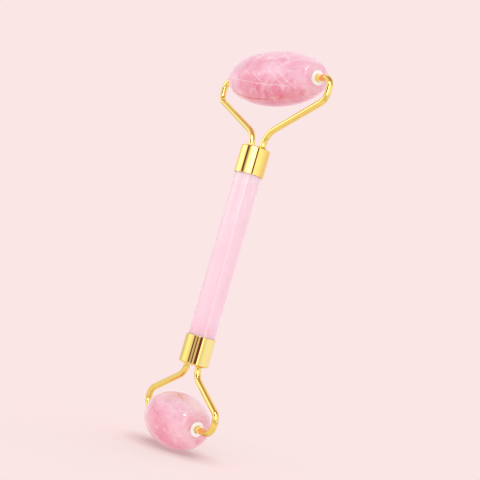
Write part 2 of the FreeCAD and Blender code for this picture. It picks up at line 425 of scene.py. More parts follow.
gold_wire = gold_plate("Gold plate on bent wire", roughness=0.05, haze_size=2 * MM)
for head, outwards in HEADS.items():
    arm = ARMS[head]
    foot = WIRE_FOOT[head]
    axis_height = stone_height(head)
    pin_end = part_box(f"{head}_stone_right_bush")[1].x - PIN_DEPTH
    neck = CAP_FACE_HEIGHT + arm["rise_at_axis"] + foot * math.tan(arm["slope"])
    shoulder = CAP_FACE_HEIGHT + arm["rise_at_axis"] + arm["half_width"] * math.tan(arm["slope"])
    route = [
        Vector((foot, 0, cavity_end - WIRE_TAIL)),
        Vector((foot, 0, neck)),
        Vector((arm["half_width"], 0, shoulder)),
        Vector((arm["half_width"], 0, axis_height)),
        Vector((pin_end, 0, axis_height)),
    ]
    for side_name, side in SIDES.items():
        turn_over = Matrix.Rotation(0 if outwards > 0 else math.pi, 4, "X")
        turn_round = Matrix.Rotation(0 if side > 0 else math.pi, 4, "Z")
        add_piece(
            f"{head}_{side_name}_wire",
            bent_wire(route, arm["bends"]),
            gold_wire,
            "handle",
            f"{head}_fork_{side_name}_arm",
            turn_over @ turn_round,
        )

# --------------------------------------------------------------------------------------------------
# Braze fillets
# A ring of silver solder runs into the gap between each wire and its hole, and freezes as a small
# hollow fillet. It is plated over with the rest.
# --------------------------------------------------------------------------------------------------

BRAZE_LEG = 0.55 * MM
BRAZE_HOLLOW = 0.7 * MM  # radius of the fillet's hollow
BRAZE_SEGMENTS = 64
BRAZE_STEPS = 8

gold_braze = gold_plate("Gold plate on silver solder", roughness=0.12, haze_size=0.3 * MM)
half_chord = BRAZE_LEG / math.sqrt(2)
hollow_depth = math.sqrt(BRAZE_HOLLOW**2 - half_chord**2)
hollow_centre = BRAZE_LEG / 2 + hollow_depth / math.sqrt(2)  # out from the wire, and up from the cap
spread = math.degrees(math.asin(half_chord / BRAZE_HOLLOW))
for head, outwards in HEADS.items():
    turn_over = Matrix.Rotation(0 if outwards > 0 else math.pi, 4, "X")
    for side_name, side in SIDES.items():
        centre = (WIRE_RADIUS + hollow_centre, CAP_FACE_HEIGHT + hollow_centre)
        fillet = corner(centre, BRAZE_HOLLOW, 225 + spread, 225 - spread, BRAZE_STEPS)
        ring_outline = [(WIRE_HOLE_RADIUS, cavity_end), (WIRE_HOLE_RADIUS, CAP_FACE_HEIGHT)]
        ring_outline += fillet
        ring_outline += [(WIRE_RADIUS, cavity_end), (WIRE_HOLE_RADIUS, cavity_end)]
        ring = turned(ring_outline, BRAZE_SEGMENTS)
        bmesh.ops.translate(ring, verts=ring.verts, vec=(side * WIRE_FOOT[head], 0, 0))
        add_piece(
            f"{head}_{side_name}_solder",
            ring,
            gold_braze,
            "handle",
            f"{head}_fork_{side_name}_braze",
            turn_over,
        )

# --------------------------------------------------------------------------------------------------
# Turning stones
# Rose quartz ovals, ground as one ellipsoid of revolution, cut flat at both ends, drilled from each
# end for a bush, then tumbled until every edge is round and the surface is glossy.
# --------------------------------------------------------------------------------------------------

STONE_SEGMENTS = 128
STONE_ROWS = 60
STONE_EDGE_STEPS = 12
STONE_EDGE_ROUND = 2.0 * MM
STONE_HOLE_RADIUS = 2.2 * MM
STONE_HOLE_DEPTH = 8.0 * MM
STONES = {
    "large": {"half_length": 25.4 * MM, "radius": 9.9 * MM, "flat": 22.0 * MM, "glow_depth": 0.6 * MM},
    "small": {"half_length": 14.9 * MM, "radius": 9.7 * MM, "flat": 11.95 * MM, "glow_depth": 2.0 * MM},
}
ROSE = "E87F9C"
DEEP_ROSE = "E0607F"
PALE = "F8D3E0"
MILK = "FAE6EE"
UNDERSIDE_SHADE_ROSE = "DF6C99"
BODY_PINKS = {"large": ("F5CDDD", "EEAAC3"), "small": ("F6D3DB", "EFB0C0")}
# Each patch: mm from the middle, degrees of turn, radius in mm, strength and colour. A few are painted light
# and shade, as marked.
PATCHES = {
    "large": [
        (0, -45, 13, 0.55, ROSE),
        (6, -18, 4, 0.4, ROSE),
        (-10, -24, 3, 0.3, ROSE),
        (17.5, -55, 5, 0.35, ROSE),
        (19, 52, 5, 0.4, PALE),
        (20, -30, 4, 0.4, PALE),
        (-2, -53, 4, 0.3, PALE),
        (10, -48, 8, 0.55, ROSE),
        (-8, -35, 7, 0.35, ROSE),
        (-4, 14, 9, 0.3, ROSE),
        (3, -7, 4.5, 0.45, ROSE),
        (2, -48, 6, 0.55, DEEP_ROSE),
        (11, -62, 3.5, 0.5, DEEP_ROSE),
        # Painted shade: a deeper magenta along the underside.
        (2, -86, 12, 0.5, UNDERSIDE_SHADE_ROSE),
        (13, -82, 8, 0.3, UNDERSIDE_SHADE_ROSE),
        (-8, -76, 5, 0.3, UNDERSIDE_SHADE_ROSE),
        (16, 27, 5, 0.45, ROSE),
        (11, 33, 4, 0.35, ROSE),
        (17, -31, 2, 0.35, ROSE),
        (19, -66, 1.8, 0.5, DEEP_ROSE),
        (-20, 0, 10, 0.75, PALE),
        (-16, 30, 8, 0.4, PALE),
        (10, 3, 6, 0.45, PALE),
        (20, -38, 4, 0.5, PALE),
        (21, 30, 5, 0.5, PALE),
        (12, 75, 12, 0.4, PALE),
        (-6, 160, 10, 0.6, ROSE),
        (8, 200, 9, 0.5, ROSE),
        (14, 45, 7, 0.45, PALE),
        (-10, 34, 5, 0.5, PALE),
        (-6, -8, 3, 0.35, PALE),
        (6, -33, 3, 0.3, MILK),
        (13.5, -38, 1.5, 0.5, MILK),
    ],
    "small": [
        (3, -10, 8, 0.5, ROSE),
        (-4, 15, 5, 0.45, ROSE),
        (5, -42, 6, 0.5, ROSE),
        (9, 12, 2.5, 0.4, ROSE),
        (7, -4, 3, 0.4, ROSE),
        (1, 74, 6, 0.45, "F2A898"),
        (-8, 0, 5, 0.6, PALE),
        # A painted highlight on top, then painted shade along the underside.
        (8, 92, 8, 0.7, MILK),
        (5, -68, 8, 0.3, ROSE),
        (9, -80, 5, 0.25, UNDERSIDE_SHADE_ROSE),
        (0, 8, 6, 0.25, ROSE),
        (7, 35, 5, 0.4, PALE),
        (10, 5, 6, 0.4, PALE),
        (-6, -40, 5, 0.5, PALE),
        (-2, 170, 7, 0.5, ROSE),
        (2, -17, 1.2, 0.35, MILK),
        (5.5, -18, 1.0, 0.3, MILK),
    ],
}
CLOUD_SIZE = 8 * MM
CURDLE_SIZE = 1.3 * MM
SPECK_SIZE = 0.55 * MM
RAG_SIZE = 3.5 * MM  # the waves in the edges of patches and cracks
PATCH_SWAY = 5 * MM
CRACK_SWAY = 1.1 * MM
FINE_CRACK_SWAY = 1.2 * MM
FINE_CRACK_REACH = 9 * MM
# Each set of fine cracks: degrees of tilt, mm apart and strength.
CRACK_SETS = {
    "large": [(-45, 1.1, 0.3), (-77, 1.5, 0.25), (-20, 0.9, 0.15), (-60, 2.6, 0.35)],
    "small": [(-50, 1.4, 0.18), (20, 1.1, 0.12)],
}
# Each crack: start and end as mm from the middle and degrees of turn, width in mm, strength and colour.
CRACKS = {
    "large": [
        ((3, 22), (13, 44), 0.9, 0.4, MILK),
        ((7, 52), (15, 18), 0.8, 0.4, MILK),
        ((-5, 44), (8, 60), 1.0, 0.35, MILK),
        ((9, 0), (16, 34), 0.7, 0.35, MILK),
        ((0, 14), (12, 24), 0.7, 0.35, ROSE),
        ((-20, -56), (5, -66), 0.26, 1.0, "C96850"),
        ((-11, -64), (3, -67), 0.5, 0.6, DEEP_ROSE),
        ((-14, -17), (1, -29), 0.32, 0.64, MILK),
        ((-1, -28), (16, -41), 0.36, 0.64, MILK),
        ((-1, -6), (5, -34), 0.3, 0.68, MILK),
        ((7, -2), (13, -36), 0.3, 0.68, MILK),
        ((10, 0), (16, -34), 0.3, 0.64, MILK),
        ((15, -26), (18, -54), 0.32, 0.6, MILK),
        ((-1.5, -28), (0.5, -58), 0.3, 0.56, MILK),
        ((1.5, -7), (3, -14), 0.6, 0.72, MILK),
        ((4, -40), (8, -54), 0.28, 0.56, MILK),
        ((4, -66), (10, -63), 0.4, 0.8, "F6CFA6"),
        ((-7, 42), (0, 26), 0.28, 0.56, MILK),
        ((-12, 14), (-4, -8), 0.34, 0.48, MILK),
        ((-5, 2), (-3.5, -12), 0.5, 0.4, MILK),
        ((5, 30), (14, 4), 0.3, 0.4, MILK),
        ((12, -2), (20, -1), 0.35, 0.48, MILK),
        ((-16, 6), (-13, -40), 0.3, 0.32, MILK),
        ((0, 110), (14, 150), 0.3, 0.64, MILK),
        ((-14, 140), (0, 165), 0.3, 0.64, MILK),
        ((-10, 190), (12, 230), 0.3, 0.64, MILK),
        ((4, 170), (8, 210), 0.3, 0.64, MILK),
    ],
    "small": [
        ((-7, 57), (-1, 74), 0.45, 0.7, "E08A66"),
        ((-1, 74), (6, 60), 0.45, 0.6, "E08A66"),
        ((-4, 16), (2, 4), 0.4, 0.45, DEEP_ROSE),
        ((4, 18), (10, 42), 0.3, 0.4, MILK),
        ((6, 59), (10, 57), 0.3, 0.48, MILK),
        ((3, 36), (8, 20), 0.25, 0.32, MILK),
        ((-4, 100), (6, 150), 0.3, 0.56, MILK),
        ((-6, 160), (4, 200), 0.3, 0.56, MILK),
    ],
}


def stone_outline(stone):
    """Half the outline of a drilled stone: from the middle of one bore's floor, round the outside,
    to the middle of the other's."""
    half_length = stone["half_length"]
    radius = stone["radius"]
    flat = stone["flat"]

    def on_ellipse(height):
        return radius * math.sqrt(1 - (height / half_length) ** 2)

    def round_centre(height):
        """Where a ball of the edge's radius sits inside the ellipse, touching it at this height."""
        width = on_ellipse(height)
        normal = Vector((width / radius**2, height / half_length**2)).normalized()
        return Vector((width, height)) - normal * STONE_EDGE_ROUND, normal

    # Halving finds the height where a ball that touches the ellipse also touches the flat end.
    low = 0.0
    high = flat
    for _ in range(40):
        middle = (low + high) / 2
        centre, normal = round_centre(middle)
        if centre.y + STONE_EDGE_ROUND < flat:
            low = middle
        else:
            high = middle
    start_deg = math.degrees(math.atan2(normal.y, normal.x))
    bore_floor = flat - STONE_HOLE_DEPTH
    end = [(0, bore_floor), (STONE_HOLE_RADIUS, bore_floor), (STONE_HOLE_RADIUS, flat)]
    end += corner(centre, STONE_EDGE_ROUND, 90, start_deg, STONE_EDGE_STEPS)
    heights = [low * (1 - 2 * row / STONE_ROWS) for row in range(1, STONE_ROWS)]
    belt = [(on_ellipse(height), height) for height in heights]
    far_end = [(width, -height) for width, height in reversed(end)]
    return end + belt + far_end


def on_stone(head, along_mm, turn_deg):
    """A point on a stone's surface, from the stone's centre. 0 degrees faces -Y and 90 degrees faces up."""
    stone = STONES[head]
    width = stone["radius"] * math.sqrt(1 - (along_mm * MM / stone["half_length"]) ** 2)
    turn = math.radians(turn_deg)
    return Vector((along_mm * MM, -width * math.cos(turn), width * math.sin(turn)))


def rose_quartz(head, centre):
    """Rose quartz, tumbled to a polish: cloudy pink with deeper patches, crossed by pale healed
    cracks and a rusty one. The deeper patches along the underside are painted shade, and the milky
    one on the small stone's top is a painted highlight. Light soaks in and comes out again, which
    softens the shading."""
    material, tree, shader = new_material(
        f"Polished rose quartz, {head} stone",
        Roughness=0.07,
        IOR=1.544,
        Subsurface_Weight=0.5,
        Subsurface_Radius=(1.0, 0.7, 0.8),
        Subsurface_Scale=STONES[head]["glow_depth"],
        Sheen_Weight=0.4,  # a pale bloom where the surface turns away
        Sheen_Roughness=0.35,
        Sheen_Tint=linear("FBE6F6"),
    )
    place = node(tree, "Mapping", {"Vector": node(tree, "TexCoord", {}, "Object"), "Location": -centre})

    # The body colour comes in clouds, some paler and some deeper.
    clouded = {"Vector": place, "Scale": 1 / CLOUD_SIZE, "Detail": 5.0, "Roughness": 0.62}
    cloud = node(tree, "TexNoise", clouded)
    depth = node(tree, "MapRange", {"Value": cloud, "From Min": 0.36, "From Max": 0.68})
    paler, deeper = BODY_PINKS[head]
    pinks = {"Factor": depth, "A": linear(paler), "B": linear(deeper)}
    colour = node(tree, "Mix", pinks, data_type="RGBA")

    # Over it lie pale and rosy flecks, curdled ones and smaller specks.
    curdled = {"Vector": place, "Scale": 1 / CURDLE_SIZE, "Detail": 5.0, "Roughness": 0.7}
    specked = {"Vector": place, "Scale": 1 / SPECK_SIZE, "Detail": 3.0, "Roughness": 0.6}
    curdle = node(tree, "TexNoise", curdled)
    speck = node(tree, "TexNoise", specked)
    for grain, low, high, strength, shade in (
        (curdle, 0.5, 0.72, 0.65, "F8DAE5"),
        (curdle, 0.48, 0.3, 0.42, ROSE),
        (speck, 0.54, 0.72, 0.6, "FBE2EA"),
        (speck, 0.46, 0.3, 0.4, ROSE),
    ):
        fleck = {"Value": grain, "From Min": low, "From Max": high, "To Max": strength}
        amount = node(tree, "MapRange", fleck)
        colour = node(tree, "Mix", {"Factor": amount, "A": colour, "B": linear(shade)}, data_type="RGBA")

    # Patches of deeper, paler or rusty colour, with ragged soft edges. Those along the underside are painted
    # shade, and the small stone's milky top is a painted highlight.
    wander = node(tree, "TexNoise", {"Vector": place, "Scale": 1 / RAG_SIZE, "Detail": 4.0}, "Color")
    sway = node(tree, "VectorMath", {0: wander, 1: (0.5, 0.5, 0.5)}, operation="SUBTRACT")
    far = node(tree, "VectorMath", {0: sway, "Scale": PATCH_SWAY}, operation="SCALE")
    ragged = node(tree, "VectorMath", {0: place, 1: far}, operation="ADD")
    for along, turn, reach, strength, shade in PATCHES[head]:
        middle = on_stone(head, along, turn)
        spot = node(tree, "VectorMath", {0: ragged, 1: middle}, "Value", operation="DISTANCE")
        fade = {"Value": spot, "From Min": reach * MM, "From Max": 0.15 * reach * MM, "To Max": strength}
        amount = node(tree, "MapRange", fade, interpolation_type="SMOOTHSTEP")
        colour = node(tree, "Mix", {"Factor": amount, "A": colour, "B": linear(shade)}, data_type="RGBA")

    # Fine healed cracks lie in parallel planes. Each set runs its own way, and comes and goes.
    sway_little = node(tree, "VectorMath", {0: sway, "Scale": FINE_CRACK_SWAY}, operation="SCALE")
    swayed = node(tree, "VectorMath", {0: place, 1: sway_little}, operation="ADD")
    for tilt_deg, spacing, strength in CRACK_SETS[head]:
        turn_set = {"Vector": swayed, "Rotation": (0, math.radians(tilt_deg), 0)}
        sheet = (1 / (spacing * MM), 1 / FINE_CRACK_REACH, 1 / FINE_CRACK_REACH)
        layers = node(tree, "Mapping", {"Vector": node(tree, "Mapping", turn_set), "Scale": sheet})
        grain = node(tree, "TexNoise", {"Vector": layers, "Scale": 1.0, "Detail": 3.0})
        milky = {"Value": grain, "From Min": 0.53, "From Max": 0.72, "To Max": strength}
        amount = node(tree, "MapRange", milky)
        colour = node(tree, "Mix", {"Factor": amount, "A": colour, "B": linear(MILK)}, data_type="RGBA")
        deep = {"Value": grain, "From Min": 0.46, "From Max": 0.3, "To Max": 0.6 * strength}
        amount = node(tree, "MapRange", deep)
        colour = node(tree, "Mix", {"Factor": amount, "A": colour, "B": linear(ROSE)}, data_type="RGBA")

    # Each large crack is a plane through the stone's middle. It shows as a line between two points.
    bend = node(tree, "VectorMath", {0: sway, "Scale": CRACK_SWAY}, operation="SCALE")
    wavy = node(tree, "VectorMath", {0: place, 1: bend}, operation="ADD")
    for start, end, width, strength, shade in CRACKS[head]:
        first = on_stone(head, *start)
        last = on_stone(head, *end)
        plane = first.cross(last).normalized()
        reach = (first - last).length / 2
        side = node(tree, "VectorMath", {0: wavy, 1: plane}, "Value", operation="DOT_PRODUCT")
        gap = node(tree, "Math", {0: side}, operation="ABSOLUTE")
        line = {"Value": gap, "From Min": width * MM, "From Max": 0.1 * width * MM, "To Max": strength}
        crack = node(tree, "MapRange", line, interpolation_type="SMOOTHSTEP")
        halfway = (first + last) / 2
        spot = node(tree, "VectorMath", {0: place, 1: halfway}, "Value", operation="DISTANCE")
        fade = {"Value": spot, "From Min": 1.15 * reach, "From Max": 0.75 * reach}
        within = node(tree, "MapRange", fade, interpolation_type="SMOOTHSTEP")
        amount = node(tree, "Math", {0: crack, 1: within}, operation="MULTIPLY")
        broken = node(tree, "MapRange", {"Value": curdle, "From Min": 0.3, "From Max": 0.55, "To Min": 0.35})
        amount = node(tree, "Math", {0: amount, 1: broken}, operation="MULTIPLY")
        colour = node(tree, "Mix", {"Factor": amount, "A": colour, "B": linear(shade)}, data_type="RGBA")
    tree.links.new(colour, shader.inputs["Base Color"])

    # Tumbling leaves the polish very slightly wavy, and less bright on the curdled flecks.
    wave_length = 4 * MM
    wave_height = 0.03 * MM
    waves = node(tree, "TexNoise", {"Vector": place, "Scale": 1 / wave_length, "Detail": 2.0})
    bump = node(tree, "Bump", {"Height": waves, "Strength": 0.3, "Distance": wave_height})
    tree.links.new(bump, shader.inputs["Normal"])
    shine = {"Value": curdle, "From Min": 0.4, "From Max": 0.8, "To Min": 0.05, "To Max": 0.14}
    tree.links.new(node(tree, "MapRange", shine), shader.inputs["Roughness"])
    return material


lie_down = Matrix.Rotation(math.pi / 2, 4, "Y")
for head, outwards in HEADS.items():
    centre = Vector((0, 0, outwards * stone_height(head)))
    add_piece(
        f"{head}_oval",
        turned(stone_outline(STONES[head]), STONE_SEGMENTS),
        rose_quartz(head, centre),
        f"{head}_roller",
        f"{head}_stone",
        Matrix.Translation(centre) @ lie_down,
    )

# --------------------------------------------------------------------------------------------------
# Bushes
# Moulded nylon sleeves, pressed into the stones from each end, so that the hard quartz doesn't
# grind on the pin. The round-edged flange is what shows.
# --------------------------------------------------------------------------------------------------

BUSH_BODY_RADIUS = 2.2 * MM
BUSH_BODY_LENGTH = 7.0 * MM
BUSH_BORE_RADIUS = 1.2 * MM
BUSH_FLANGE_RADIUS = 2.65 * MM
BUSH_FLANGE_THICKNESS = 0.45 * MM
BUSH_FLANGE_ROUND = 0.3 * MM
BUSH_MOUTH_CHAMFER = 0.15 * MM
BUSH_SEGMENTS = 96
BUSH_FLANGE_STEPS = 6


def milky_nylon():
    """Unfilled moulded nylon, milky white. It is slightly see-through and its skin is satin, not glossy."""
    material, tree, shader = new_material(
        "Milky moulded nylon",
        Roughness=0.34,
        IOR=1.53,
        Subsurface_Weight=0.2,
        Subsurface_Radius=(1.0, 0.9, 0.85),
        Subsurface_Scale=1.0 * MM,
    )
    place = node(tree, "TexCoord", {}, "Object")
    grain_size = 0.6 * MM
    grain = node(tree, "TexNoise", {"Vector": place, "Scale": 1 / grain_size, "Detail": 3.0})
    shades = {"Factor": grain, "A": linear("FFFAF7"), "B": linear("FFFFFF")}
    tree.links.new(node(tree, "Mix", shades, data_type="RGBA"), shader.inputs["Base Color"])
    return material


nylon = milky_nylon()
flange_corner = (BUSH_FLANGE_RADIUS - BUSH_FLANGE_ROUND, BUSH_FLANGE_THICKNESS - BUSH_FLANGE_ROUND)
bush_outline = [
    (BUSH_BORE_RADIUS, -BUSH_BODY_LENGTH),
    (BUSH_BODY_RADIUS, -BUSH_BODY_LENGTH),
    (BUSH_BODY_RADIUS, 0),
    (BUSH_FLANGE_RADIUS, 0),
    *corner(flange_corner, BUSH_FLANGE_ROUND, 0, 90, BUSH_FLANGE_STEPS),
    (BUSH_BORE_RADIUS + BUSH_MOUTH_CHAMFER, BUSH_FLANGE_THICKNESS),
    (BUSH_BORE_RADIUS, BUSH_FLANGE_THICKNESS - BUSH_MOUTH_CHAMFER),
    (BUSH_BORE_RADIUS, -BUSH_BODY_LENGTH),
]
for head, outwards in HEADS.items():
    for side_name, side in SIDES.items():
        seat = Vector((side * STONES[head]["flat"], 0, outwards * stone_height(head)))
        add_piece(
            f"{head}_{side_name}_sleeve",
            turned(bush_outline, BUSH_SEGMENTS),
            nylon,
            f"{head}_roller",
            f"{head}_stone_{side_name}_bush",
            Matrix.Translation(seat) @ Matrix.Rotation(side * math.pi / 2, 4, "Y"),
        )

# --------------------------------------------------------------------------------------------------
# Camera
# A long lens a little below the roller's middle, looking slightly up. It is turned anticlockwise,
# so that the upright roller leans to the right.
# --------------------------------------------------------------------------------------------------

CAMERA_AZIMUTH = math.radians(52.07)
CAMERA_RISE = math.radians(-4.35)
CAMERA_ROLL = math.radians(16.16)
CAMERA_DISTANCE = 344.5 * MM
CAMERA_TARGET = Vector((2.2, 2.8, 6.7)) * MM
CAMERA_SENSOR_MM = 36
CAMERA_LENS_MM = 73.3

to_camera = Vector((math.sin(CAMERA_AZIMUTH), -math.cos(CAMERA_AZIMUTH), 0))  # level, from the roller
to_right = Vector((math.cos(CAMERA_AZIMUTH), math.sin(CAMERA_AZIMUTH), 0))
away = to_camera * math.cos(CAMERA_RISE) + Vector((0, 0, math.sin(CAMERA_RISE)))
camera_data = bpy.data.cameras.new("camera")
camera_data.sensor_width = CAMERA_SENSOR_MM
camera_data.lens = CAMERA_LENS_MM
camera_data.clip_start = 10 * MM
camera_data.clip_end = 50
camera = bpy.data.objects.new("camera", camera_data)
bpy.context.scene.collection.objects.link(camera)
facing = (-away).to_track_quat("-Z", "Y") @ Quaternion((0, 0, 1), CAMERA_ROLL)
camera.matrix_world = Matrix.Translation(CAMERA_TARGET + away * CAMERA_DISTANCE) @ facing.to_matrix().to_4x4()
bpy.context.scene.camera = camera
bpy.context.scene.view_settings.view_transform = "Standard"

# --------------------------------------------------------------------------------------------------
# Floor and daylight
# A matt pink card under the roller, in a room of the same pink, lit softly from all round and most
# # by a long diffuser overhead. Right beside the roller a contact shadow is painted into the card's
# # colour. Away from the roller the card fades to even light, so that no horizon shows, and the
# # light that bounces off it is that of a card without shadows.
# --------------------------------------------------------------------------------------------------

ROOM_PINK = "FBE6E6"
FLOOR_HALF_WIDTH = 40.0  # metres, so that its edge is out of sight
FLOOR_FADE_START = 40 * MM
FLOOR_FADE_END = 130 * MM
CONTACT_REACH = 12 * MM  # how near the roller the card darkens
CONTACT_SHADE = "A87C7C"
DIFFUSER_RUN = Vector((-0.432, 0.902, 0))  # the way its length points
DIFFUSER_ACROSS = Vector((0.902, 0.432, 0))
DIFFUSER_GLOW = 1.22
WINDOW_GLOW = 1.8  # low down, all round
ROOM_GLOW = 0.55
CEILING_IN_FRONT = 0.62
CEILING_BEHIND = 1.0
CEILING_SHADE = 0.42  # a dark strip high in front

floor_shape = bmesh.new()
bmesh.ops.create_grid(floor_shape, x_segments=1, y_segments=1, size=FLOOR_HALF_WIDTH)
bmesh.ops.translate(floor_shape, verts=floor_shape.verts, vec=(0, 0, cad_box[0][2]))
floor_mesh = bpy.data.meshes.new("floor")
floor_shape.to_mesh(floor_mesh)
floor_shape.free()
floor_card, floor_tree, floor_shader = new_material("Matt pink card", Roughness=1.0, Specular_IOR_Level=0.0)
place = node(floor_tree, "TexCoord", {}, "Object")
reach = node(floor_tree, "VectorMath", {0: place}, "Value", operation="LENGTH")
far = node(floor_tree, "MapRange", {"Value": reach, "From Min": FLOOR_FADE_START, "From Max": FLOOR_FADE_END})
bounced = node(floor_tree, "LightPath", {}, "Is Diffuse Ray")
unshaded = node(floor_tree, "Math", {0: far, 1: bounced}, operation="MAXIMUM")
even = node(floor_tree, "Emission", {"Color": linear(ROOM_PINK)})
# Painted contact shadow: where ambient occlusion finds the roller close, the card's colour darkens towards
# CONTACT_SHADE.
openness = node(floor_tree, "AmbientOcclusion", {"Distance": CONTACT_REACH}, "AO")
contact_shadow_fade = {"Value": openness, "From Min": 0.95, "From Max": 0.35, "To Max": 0.75}
painted_contact_shadow = node(floor_tree, "MapRange", contact_shadow_fade)
shades = {"Factor": painted_contact_shadow, "A": linear(ROOM_PINK), "B": linear(CONTACT_SHADE)}
floor_tree.links.new(node(floor_tree, "Mix", shades, data_type="RGBA"), floor_shader.inputs["Base Color"])
paper = node(floor_tree, "MixShader", {0: unshaded, 1: floor_shader.outputs["BSDF"], 2: even})
floor_tree.links.new(paper, floor_tree.nodes["Material Output"].inputs["Surface"])
floor_mesh.materials.append(floor_card)
floor = bpy.data.objects.new("floor", floor_mesh)
bpy.context.scene.collection.objects.link(floor)

room = bpy.data.worlds.new("room")
bpy.context.scene.world = room
room.use_nodes = True
sky = room.node_tree
sky.nodes.clear()
way = node(sky, "TexCoord", {}, "Generated")
rise = node(sky, "SeparateXYZ", {"Vector": way}, "Z")
windows = {"Value": rise, "From Min": 0.2, "From Max": 0.35, "To Min": WINDOW_GLOW, "To Max": ROOM_GLOW}
around = node(sky, "MapRange", windows)
run = node(sky, "VectorMath", {0: way, 1: DIFFUSER_RUN}, "Value", operation="DOT_PRODUCT")
width = node(sky, "VectorMath", {0: way, 1: DIFFUSER_ACROSS}, "Value", operation="DOT_PRODUCT")
within = []
for offset, inner, outer in ((run, 0.85, 0.97), (width, 0.15, 0.35)):
    size = node(sky, "Math", {0: offset}, operation="ABSOLUTE")
    edge = {"Value": size, "From Min": outer, "From Max": inner}
    within.append(node(sky, "MapRange", edge, interpolation_type="SMOOTHSTEP"))
overhead = node(sky, "Math", {0: within[0], 1: within[1]}, operation="MULTIPLY")
glow = node(sky, "Math", {0: overhead, 1: DIFFUSER_GLOW, 2: around}, operation="MULTIPLY_ADD")
daylight = node(sky, "Background", {"Color": (1, 1, 1, 1), "Strength": glow})

# Polished surfaces see a dimmer ceiling in front of the roller than behind it, and a dark strip
# high in front, which give the wires their dark lines.
backwards = node(sky, "VectorMath", {0: way, 1: -to_camera}, "Value", operation="DOT_PRODUCT")
behind = {
    "Value": backwards,
    "From Min": 0.1,
    "From Max": 0.45,
    "To Min": CEILING_IN_FRONT,
    "To Max": CEILING_BEHIND,
}
ceiling = node(sky, "MapRange", behind, interpolation_type="SMOOTHSTEP")
high_up = node(sky, "MapRange", {"Value": rise, "From Min": 0.84, "From Max": 0.92})
in_front = node(sky, "MapRange", {"Value": backwards, "From Min": 0.15, "From Max": 0.05})
strip = node(sky, "Math", {0: high_up, 1: in_front}, operation="MULTIPLY")
gleam = node(sky, "Mix", {"Factor": strip, "A": ceiling, "B": CEILING_SHADE}, data_type="FLOAT")
tints = {"Factor": strip, "A": linear("FFF0EC"), "B": linear("FFC7B0")}
mirrored = node(sky, "Background", {"Color": node(sky, "Mix", tints, data_type="RGBA"), "Strength": gleam})
backdrop = node(sky, "Background", {"Color": linear(ROOM_PINK)})
polished = node(sky, "LightPath", {}, "Is Glossy Ray")
lit = node(sky, "MixShader", {0: polished, 1: daylight, 2: mirrored})
seen = node(sky, "LightPath", {}, "Is Camera Ray")
both = node(sky, "MixShader", {0: seen, 1: lit, 2: backdrop})
sky.links.new(both, sky.nodes.new("ShaderNodeOutputWorld").inputs["Surface"])

# --------------------------------------------------------------------------------------------------
# Softboxes and flags
# A ring of lit panels with dark gaps between them stands round the roller, over a pale card. Only
# mirror-like surfaces see them. They draw the bright and dark bands on the gold and the long gleam
# on the rod, and light nothing else.
# --------------------------------------------------------------------------------------------------

RING_RADIUS = 400 * MM
RING_TOP = 300 * MM
RING_SEGMENTS = 128
RING_FADE_START = 160 * MM  # above this the panels in front fade into the ceiling
RING_FADE_BEHIND = 250 * MM  # this far behind the roller they no longer fade
CLOTH = "7B2B60"  # maroon flags, which look almost black in the gold
WHITE = "FFFFFF"
LILAC = "D8DCFF"
WALL = "FFE6EE"  # the room itself, behind the roller
# Panels as (degrees to the right of the camera, brightness, colour), at four heights.
PANELS = {
    "low": [
        (-180, 1.0, WALL), (-145, 0.72, WHITE), (-112, 0.8, WHITE), (-96, 1.15, WHITE), (-85, 1.25, WHITE),
        (-70, 1.05, WHITE), (-52, 0.88, WHITE), (-47, 1, CLOTH), (-40, 1, CLOTH), (-37, 0.62, WHITE),
        (-27, 0.62, WHITE), (-23, 1, CLOTH), (-17, 1, CLOTH), (-14, 0.75, WHITE), (-5, 0.75, WHITE),
        (-1, 1, CLOTH), (17, 1, CLOTH), (21, 2.2, WHITE), (27, 1.4, WHITE), (33, 0.82, WHITE),
        (46, 1.25, LILAC), (58, 1.45, LILAC), (95, 1.45, LILAC), (130, 1.35, LILAC), (180, 1.0, WALL),
    ],
    "mid": [
        (-180, 1.0, WALL), (-150, 0.75, WHITE), (-131, 0.74, WHITE), (-118, 0.88, WHITE), (-106, 1.1, WHITE),
        (-96, 1.7, LILAC), (-88, 1.3, WHITE), (-78, 1.0, WHITE), (-60, 0.95, WHITE), (20, 1.0, WHITE),
        (60, 1.1, LILAC), (95, 1.1, LILAC), (120, 1.0, WALL), (180, 1.0, WALL),
    ],
    "high": [
        (-180, 1.0, WALL), (-140, 1.0, WALL), (-125, 0.95, WHITE), (-108, 1.4, WHITE), (-99, 2.4, WHITE),
        (-86, 1.9, WHITE), (-74, 1.15, WHITE), (-67, 1.0, WHITE), (-64, 1, CLOTH), (-52, 1, CLOTH),
        (-49, 0.5, WHITE), (-40, 0.8, WHITE), (-31, 1.6, WHITE), (-18, 2.6, WHITE), (-6, 3.5, WHITE),
        (6, 2.4, WHITE), (13, 2.0, WHITE), (16, 1, CLOTH), (25, 1, CLOTH), (28, 1.2, WHITE), (60, 1.1, WHITE),
        (81, 0.95, WHITE), (120, 0.9, WALL), (140, 1.0, WALL), (180, 1.0, WALL),
    ],
    "top": [
        (-180, 1.0, WALL), (-150, 1.0, WALL), (-138, 0.5, WALL), (-124, 0.5, WHITE), (-112, 0.95, WHITE),
        (-90, 1.5, LILAC), (-75, 1.2, WHITE), (-70, 0.9, WHITE), (-66, 1, CLOTH), (-36, 1, CLOTH),
        (-29, 1.6, WHITE), (-5, 2.6, WHITE), (12, 2.4, WHITE), (24, 1.0, WHITE), (50, 0.85, WHITE),
        (75, 1.1, WHITE), (95, 1.1, WHITE), (120, 0.95, WALL), (165, 1.0, WALL), (180, 1.0, WALL),
    ],
}
# The height in mm where each tier starts to take over from the one below, and where it has.
TIERS = (("mid", -40, -15), ("high", 40, 65), ("top", 115, 145))

